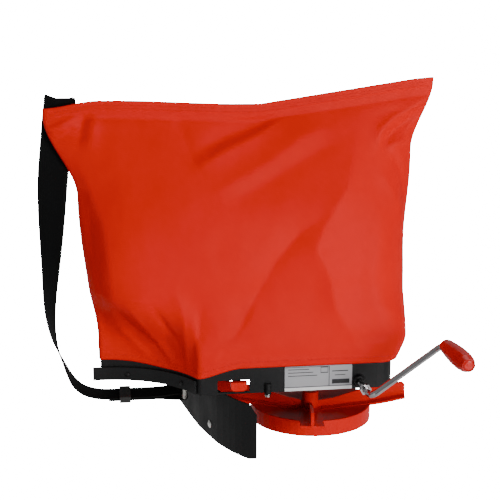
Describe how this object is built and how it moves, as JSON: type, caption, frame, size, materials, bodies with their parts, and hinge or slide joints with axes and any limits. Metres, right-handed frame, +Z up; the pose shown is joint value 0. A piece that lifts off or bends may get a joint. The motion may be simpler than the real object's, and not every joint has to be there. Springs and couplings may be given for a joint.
{
  "type": "garden spreader",
  "caption": "Shoulder-carried hand-crank broadcast spreader: fabric bag hopper on a black tray, geared impeller below, side deflector and webbing strap.",
  "frame": {"origin": "crest of the shoulder strap, where the spreader hangs from the shoulder", "axes": "+X towards the crank's side along the tray, -Y towards the person, +Z up"},
  "size_m": [0.4984, 0.3453, 0.4533],
  "materials": {
    "black_plastic": "moulded, fine grain",
    "bag_fabric": "coated woven nylon",
    "webbing": "ribbed polypropylene webbing",
    "zip_fabric": "woven tape",
    "zinc_steel": "zinc plated",
    "bright_fastener": "bright",
    "bushing_bronze": "sintered bronze",
    "chrome_steel": "bright plated",
    "grip_plastic": "glossy moulded",
    "impeller_plastic": "moulded",
    "lever_plastic": "moulded",
    "white_nylon": "moulded nylon",
    "label_film": "printed film"
  },
  "bodies": {
    "hopper": {"bag_back": "bag_fabric", "bag_front": "bag_fabric", "belly_rest": "black_plastic", "belly_rivet_1": "black_plastic", "belly_rivet_2": "black_plastic", "case_screw_1": "zinc_steel", "case_screw_2": "zinc_steel", "case_screw_3": "zinc_steel", "case_screw_4": "zinc_steel", "counter_lower_bush": "bushing_bronze", "counter_upper_bush": "bushing_bronze", "crank_bush": "black_plastic", "crank_inner_bush": "bushing_bronze", "deflector_shield": "black_plastic", "front_label": "label_film", "front_strap_bail": "zinc_steel", "gate_guide": "black_plastic", "gear_case": "black_plastic", "gear_case_cover": "black_plastic", "hopper_floor": "black_plastic", "hopper_tray": "black_plastic", "impeller_lower_bush": "bushing_bronze", "impeller_upper_bush": "bushing_bronze", "outlet_chute": "black_plastic", "rear_strap_bail": "zinc_steel", "shield_bracket": "zinc_steel", "shield_rivet": "bright_fastener", "shield_screw": "bright_fastener", "shoulder_strap": "webbing", "zip_chain": "zip_fabric", "zip_stop_left": "zinc_steel", "zip_stop_right": "zinc_steel", "zip_tape": "zip_fabric"},
    "crank": {"crank_rod": "chrome_steel", "crank_nut": "chrome_steel", "crank_retainer": "zinc_steel", "crank_bevel_gear": "zinc_steel"},
    "grip": {"crank_grip": "grip_plastic", "grip_cap": "grip_plastic"},
    "countershaft": {"countershaft": "zinc_steel", "counter_bevel_gear": "zinc_steel", "counter_spur_gear": "white_nylon"},
    "impeller": {"impeller": "impeller_plastic", "impeller_shaft": "zinc_steel", "impeller_pinion": "zinc_steel", "impeller_nut": "zinc_steel", "impeller_washer": "zinc_steel", "agitator": "zinc_steel"},
    "flow_gate": {"flow_gate": "zinc_steel", "gate_lever": "lever_plastic"},
    "zip_slider": {"zip_slider": "zinc_steel"},
    "zip_pull": {"zip_pull": "zip_fabric"},
    "strap_slide": {"strap_slide": "black_plastic"}
  },
  "joints": [
    {"name": "crank_turn", "type": "hinge", "parent": "hopper", "child": "crank", "pos_m": [0.3584, -0.0912, -0.3466], "axis": [0, -1, 0], "continuous": true},
    {"name": "grip_spin", "type": "hinge", "parent": "crank", "child": "grip", "pos_m": [0.44605, -0.1522, -0.28523], "axis": [0, -1, 0], "continuous": true},
    {"name": "countershaft_turn", "type": "hinge", "parent": "hopper", "child": "countershaft", "pos_m": [0.3584, -0.0152, -0.3421], "axis": [0, 0, 1], "continuous": true},
    {"name": "impeller_turn", "type": "hinge", "parent": "hopper", "child": "impeller", "pos_m": [0.3128, -0.0152, -0.3571], "axis": [0, 0, 1], "continuous": true},
    {"name": "gate_slide", "type": "slide", "parent": "hopper", "child": "flow_gate", "axis": [1, 0, 0], "range_m": [-0.015, 0]},
    {"name": "zip_slide", "type": "slide", "parent": "hopper", "child": "zip_slider", "axis": [0.9886, 0, 0.1509], "range_m": [-0.16, 0.01]},
    {"name": "zip_pull_swing", "type": "hinge", "parent": "zip_slider", "child": "zip_pull", "pos_m": [0.41869, -0.00405, 0.00613], "axis": [0.9886, 0, 0.1509], "range_deg": [0, 100]},
    {"name": "strap_slide_move", "type": "slide", "parent": "hopper", "child": "strap_slide", "axis": [1, 0, 0], "range_m": [-0.012, 0.024]}
  ],
  "couplings": [
    {"joint": "countershaft_turn", "follows": "crank_turn", "ratio": -1.5},
    {"joint": "impeller_turn", "follows": "crank_turn", "ratio": 5.1429}
  ]
}
